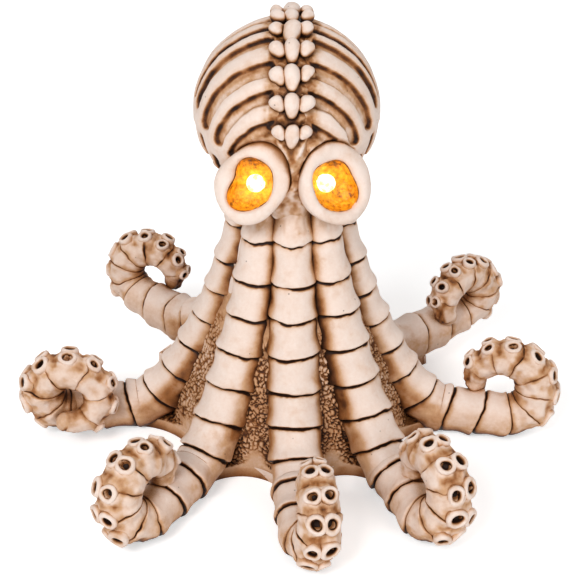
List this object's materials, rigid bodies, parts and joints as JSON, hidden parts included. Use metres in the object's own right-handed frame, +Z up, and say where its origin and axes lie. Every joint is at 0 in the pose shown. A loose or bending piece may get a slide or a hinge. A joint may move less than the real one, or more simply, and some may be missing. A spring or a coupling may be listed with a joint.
{
  "type": "octopus figurine",
  "caption": "Octopus skeleton figurine in bone-coloured cast resin, standing on curled arms, with lit eyes, a ribbed round head, and a battery box with a slide switch in its underside",
  "frame": {"origin": "on the floor plane under the centre of the footprint, at the bottom of the body and the arms", "axes": "+Z up; the face looks along -Y; +X to the right as the viewer facing the octopus sees it"},
  "size_m": [0.1642, 0.1745, 0.1277],
  "materials": {
    "bone_resin": "matte cast resin, bone white with a brown wash in the grooves",
    "web_resin": "matte cast resin, brown wash over a granular texture",
    "inner_resin": "matte cast resin, brown wash",
    "gilt_bowl": "rough gold paint, lit by the lamp",
    "lamp_body": "clear epoxy, lit warm yellow",
    "lead_metal": "tinned wire",
    "wire_red": "satin insulation",
    "wire_black": "satin insulation",
    "box_plastic": "fine moulded texture",
    "door_plastic": "fine moulded texture",
    "screw_steel": "zinc plated",
    "cell_steel": "nickel plated",
    "contact_metal": "nickel plated strip",
    "switch_plastic": "satin",
    "slider_plastic": "satin"
  },
  "bodies": {
    "figurine": {"arm_front": "bone_resin", "arm_front_left": "bone_resin", "arm_front_right": "bone_resin", "arm_left": "bone_resin", "arm_rear": "bone_resin", "arm_rear_left": "bone_resin", "arm_rear_right": "bone_resin", "arm_right": "bone_resin", "battery_box": "box_plastic", "body_core": "web_resin", "contact_minus": "contact_metal", "contact_plus": "contact_metal", "eye_bowl_left": "gilt_bowl", "eye_bowl_right": "gilt_bowl", "eye_rim_left": "bone_resin", "eye_rim_right": "bone_resin", "head_core": "inner_resin", "lamp_anode_left": "lead_metal", "lamp_anode_right": "lead_metal", "lamp_cathode_left": "lead_metal", "lamp_cathode_right": "lead_metal", "lamp_left": "lamp_body", "lamp_right": "lamp_body", "mantle_ribs_left": "bone_resin", "mantle_ribs_right": "bone_resin", "spine": "bone_resin", "switch_body": "switch_plastic", "wire_anode_left": "wire_red", "wire_anode_right": "wire_red", "wire_cathode_left": "wire_black", "wire_cathode_right": "wire_black", "wire_switch": "wire_red"},
    "battery_door": {"battery_door": "door_plastic"},
    "door_screw_left": {"door_screw_left": "screw_steel"},
    "door_screw_right": {"door_screw_right": "screw_steel"},
    "cells": {"cell_1": "cell_steel", "cell_2": "cell_steel", "cell_3": "cell_steel"},
    "switch_slider": {"switch_slider": "slider_plastic"}
  },
  "joints": [
    {"name": "door_lift", "type": "slide", "parent": "figurine", "child": "battery_door", "axis": [0, 0, -1], "range_m": [0, 0.03]},
    {"name": "screw_turn_left", "type": "hinge", "parent": "battery_door", "child": "door_screw_left", "pos_m": [-0.0126, -0.0026, 0.0008], "axis": [0, 0, 1], "continuous": true},
    {"name": "screw_turn_right", "type": "hinge", "parent": "battery_door", "child": "door_screw_right", "pos_m": [0.0126, -0.0026, 0.0008], "axis": [0, 0, 1], "continuous": true},
    {"name": "cells_lift", "type": "slide", "parent": "figurine", "child": "cells", "axis": [0, 0, -1], "range_m": [0, 0.015]},
    {"name": "switch_slide", "type": "slide", "parent": "figurine", "child": "switch_slider", "axis": [1, 0, 0], "range_m": [0, 0.002]}
  ],
  "couplings": [
    {"joint": "cells_lift", "follows": "door_lift", "ratio": 0.5}
  ]
}
